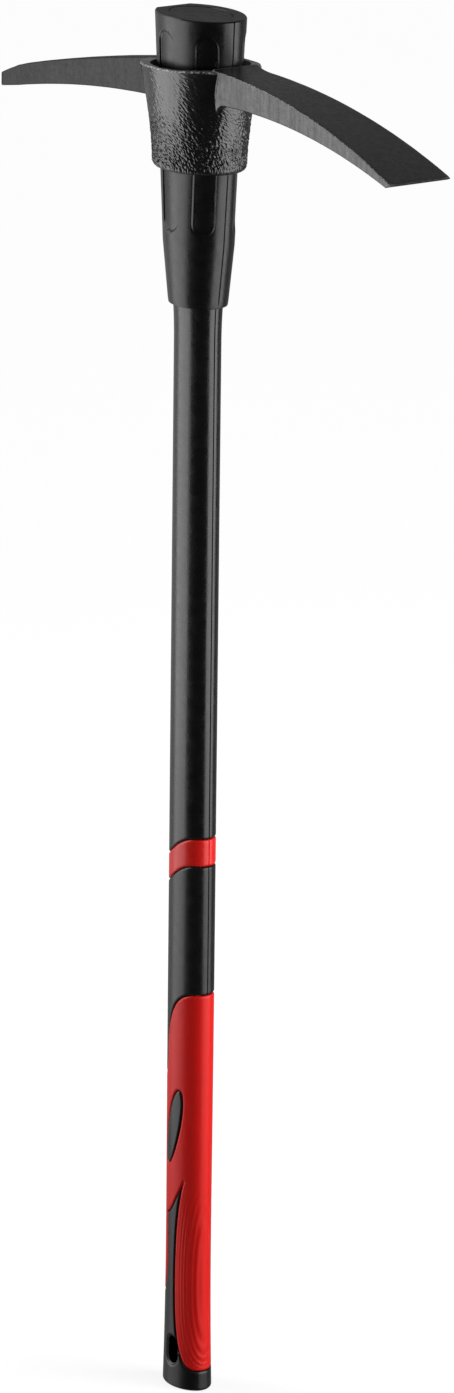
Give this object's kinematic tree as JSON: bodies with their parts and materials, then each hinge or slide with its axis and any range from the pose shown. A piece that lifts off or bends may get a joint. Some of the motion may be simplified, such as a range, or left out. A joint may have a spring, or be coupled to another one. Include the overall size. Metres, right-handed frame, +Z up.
{
  "type": "pick mattock",
  "caption": "Pick mattock with a forged adze-and-pick head on an oval drop-through handle with a red and black soft grip and a hang hole.",
  "frame": {"origin": "The middle of the flat butt face, at the lower end of the handle.", "axes": "+Z runs up the handle to its top, +X points towards the adze and away from the pick, and +Y completes a right-handed frame."},
  "size_m": [0.446, 0.0642, 0.9],
  "materials": {
    "head_paint": "satin charcoal paint over forged steel",
    "black_plastic": "satin moulded black plastic",
    "fibreglass": "pultruded glass-fibre rod",
    "red_grip": "soft matte red rubber",
    "black_grip": "soft matte black rubber"
  },
  "bodies": {
    "handle": {"eye_sleeve": "black_plastic", "top_plug": "black_plastic", "core_rod": "fibreglass", "shaft_jacket": "black_plastic", "red_band": "red_grip", "grip_sleeve": "black_grip", "grip_skin": "red_grip", "leaf_pad_front": "black_grip", "leaf_pad_back": "black_grip", "butt_cap": "black_grip"},
    "head": {"head": "head_paint"}
  },
  "joints": [
    {"name": "head_slide", "type": "slide", "parent": "handle", "child": "head", "axis": [0, 0, 1], "range_m": [-0.8, 0]}
  ]
}
